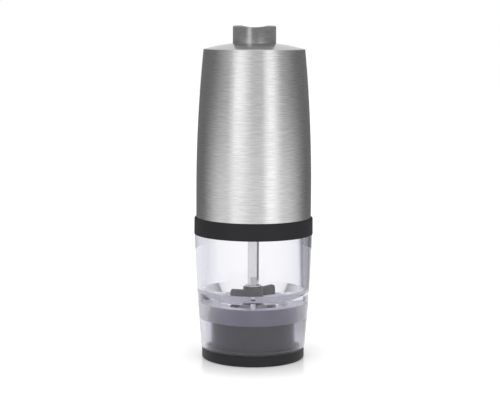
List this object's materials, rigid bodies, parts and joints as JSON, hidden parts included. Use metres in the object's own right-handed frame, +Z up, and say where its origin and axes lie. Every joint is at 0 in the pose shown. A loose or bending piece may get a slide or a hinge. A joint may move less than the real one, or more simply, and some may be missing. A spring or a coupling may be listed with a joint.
{
  "type": "pepper mill",
  "caption": "Battery pepper mill with a push button on a domed steel housing, a clear jar with a square drive shaft and feed paddle, and a conical burr grinder adjusted from below",
  "frame": {"origin": "middle of the foot ring's lower face, on the table", "axes": "+Z up along the mill's axis, -Y towards the viewer of the picture, +X to the viewer's right"},
  "size_m": [0.06, 0.06, 0.1677],
  "materials": {
    "brushed_steel": "fine brushed stainless steel",
    "black_plastic": "satin black plastic",
    "clear_plastic": "clear polished plastic",
    "dark_plastic": "dark grey plastic",
    "inner_plastic": "black glass-filled plastic",
    "gear_plastic": "natural acetal",
    "bright_steel": "bright drawn steel",
    "spring_steel": "spring steel",
    "plated_steel": "zinc-plated steel",
    "burr_ceramic": "grey grinding ceramic",
    "contact_brass": "plain brass strip",
    "seal_rubber": "translucent silicone",
    "cell_jacket": "plain grey-blue cell jacket",
    "lead_sleeve": "red wire insulation"
  },
  "bodies": {
    "base": {"clear_jar": "clear_plastic", "foot_ring": "black_plastic", "grinder_housing": "dark_plastic", "housing_screws": "plated_steel", "burr_ring": "burr_ceramic"},
    "adjuster": {"adjuster_screw": "bright_steel", "grind_knob": "black_plastic", "knob_screw": "plated_steel"},
    "lifter": {"burr_lifter": "inner_plastic"},
    "rotor": {"drive_shaft": "bright_steel", "spring_clip": "spring_steel", "burr_spring": "spring_steel"},
    "burr": {"inner_burr": "burr_ceramic", "feed_paddle": "dark_plastic"},
    "motor_unit": {"collar": "black_plastic", "jar_seal": "seal_rubber", "gearbox_case": "inner_plastic", "motor_plate": "plated_steel", "gearbox_screws": "plated_steel", "motor_screws": "plated_steel", "chassis_screws": "plated_steel", "motor_can": "plated_steel", "motor_end_cap": "inner_plastic", "motor_terminals": "contact_brass", "motor_leads": "lead_sleeve", "chassis": "inner_plastic", "cells": "cell_jacket", "cell_plates": "plated_steel", "cell_springs": "spring_steel", "switch_contacts": "contact_brass"},
    "output": {"output_carrier": "gear_plastic", "output_pins": "bright_steel"},
    "first_stage": {"first_carrier": "gear_plastic", "first_pins": "bright_steel"},
    "motor_rotor": {"motor_shaft": "bright_steel", "motor_pinion": "contact_brass"},
    "shell": {"steel_shell": "brushed_steel"},
    "button": {"button_cap": "brushed_steel", "button_plunger": "inner_plastic", "contact_bridge": "contact_brass", "button_spring": "spring_steel"},
    "slow_gear_1": {"slow_planet_1": "gear_plastic"},
    "fast_gear_1": {"fast_planet_1": "gear_plastic"},
    "slow_gear_2": {"slow_planet_2": "gear_plastic"},
    "fast_gear_2": {"fast_planet_2": "gear_plastic"},
    "slow_gear_3": {"slow_planet_3": "gear_plastic"},
    "fast_gear_3": {"fast_planet_3": "gear_plastic"}
  },
  "joints": [
    {"name": "drive_spin", "type": "hinge", "parent": "base", "child": "rotor", "pos_m": [0, 0, 0.05], "axis": [0, 0, 1], "continuous": true},
    {"name": "output_spin", "type": "hinge", "parent": "motor_unit", "child": "output", "pos_m": [0, 0, 0.075], "axis": [0, 0, 1], "continuous": true},
    {"name": "first_spin", "type": "hinge", "parent": "motor_unit", "child": "first_stage", "pos_m": [0, 0, 0.084], "axis": [0, 0, 1], "continuous": true},
    {"name": "motor_spin", "type": "hinge", "parent": "motor_unit", "child": "motor_rotor", "pos_m": [0, 0, 0.09], "axis": [0, 0, 1], "continuous": true},
    {"name": "slow_spin_1", "type": "hinge", "parent": "output", "child": "slow_gear_1", "pos_m": [0.009, 0, 0.081], "axis": [0, 0, 1], "continuous": true},
    {"name": "fast_spin_1", "type": "hinge", "parent": "first_stage", "child": "fast_gear_1", "pos_m": [0.009, 0, 0.088], "axis": [0, 0, 1], "continuous": true},
    {"name": "slow_spin_2", "type": "hinge", "parent": "output", "child": "slow_gear_2", "pos_m": [-0.0045, 0.00779, 0.081], "axis": [0, 0, 1], "continuous": true},
    {"name": "fast_spin_2", "type": "hinge", "parent": "first_stage", "child": "fast_gear_2", "pos_m": [-0.0045, 0.00779, 0.088], "axis": [0, 0, 1], "continuous": true},
    {"name": "slow_spin_3", "type": "hinge", "parent": "output", "child": "slow_gear_3", "pos_m": [-0.0045, -0.00779, 0.081], "axis": [0, 0, 1], "continuous": true},
    {"name": "fast_spin_3", "type": "hinge", "parent": "first_stage", "child": "fast_gear_3", "pos_m": [-0.0045, -0.00779, 0.088], "axis": [0, 0, 1], "continuous": true},
    {"name": "grind_setting", "type": "hinge", "parent": "base", "child": "adjuster", "pos_m": [0, 0, 0.004], "axis": [0, 0, 1], "range_deg": [0, 300.1]},
    {"name": "lifter_slide", "type": "slide", "parent": "base", "child": "lifter", "axis": [0, 0, 1], "range_m": [0, 0.001]},
    {"name": "burr_slide", "type": "slide", "parent": "rotor", "child": "burr", "axis": [0, 0, 1], "range_m": [0, 0.001], "deforming": ["burr_spring"]},
    {"name": "unit_lift", "type": "slide", "parent": "base", "child": "motor_unit", "axis": [0, 0, 1], "range_m": [0, 0.05]},
    {"name": "shell_lift", "type": "slide", "parent": "motor_unit", "child": "shell", "axis": [0, 0, 1], "range_m": [0, 0.1]},
    {"name": "button_press", "type": "slide", "parent": "motor_unit", "child": "button", "axis": [0, 0, -1], "range_m": [0, 0.003], "stiffness_N_per_m": 500, "springref_m": -0.002, "deforming": ["button_spring"]}
  ],
  "couplings": [
    {"joint": "output_spin", "follows": "drive_spin", "ratio": 1},
    {"joint": "first_spin", "follows": "drive_spin", "ratio": 6},
    {"joint": "motor_spin", "follows": "drive_spin", "ratio": 36},
    {"joint": "slow_spin_1", "follows": "drive_spin", "ratio": -2.5},
    {"joint": "fast_spin_1", "follows": "drive_spin", "ratio": -15},
    {"joint": "slow_spin_2", "follows": "drive_spin", "ratio": -2.5},
    {"joint": "fast_spin_2", "follows": "drive_spin", "ratio": -15},
    {"joint": "slow_spin_3", "follows": "drive_spin", "ratio": -2.5},
    {"joint": "fast_spin_3", "follows": "drive_spin", "ratio": -15},
    {"joint": "lifter_slide", "follows": "burr_slide", "ratio": 1},
    {"joint": "grind_setting", "follows": "burr_slide", "rad_per_m": 5236}
  ]
}
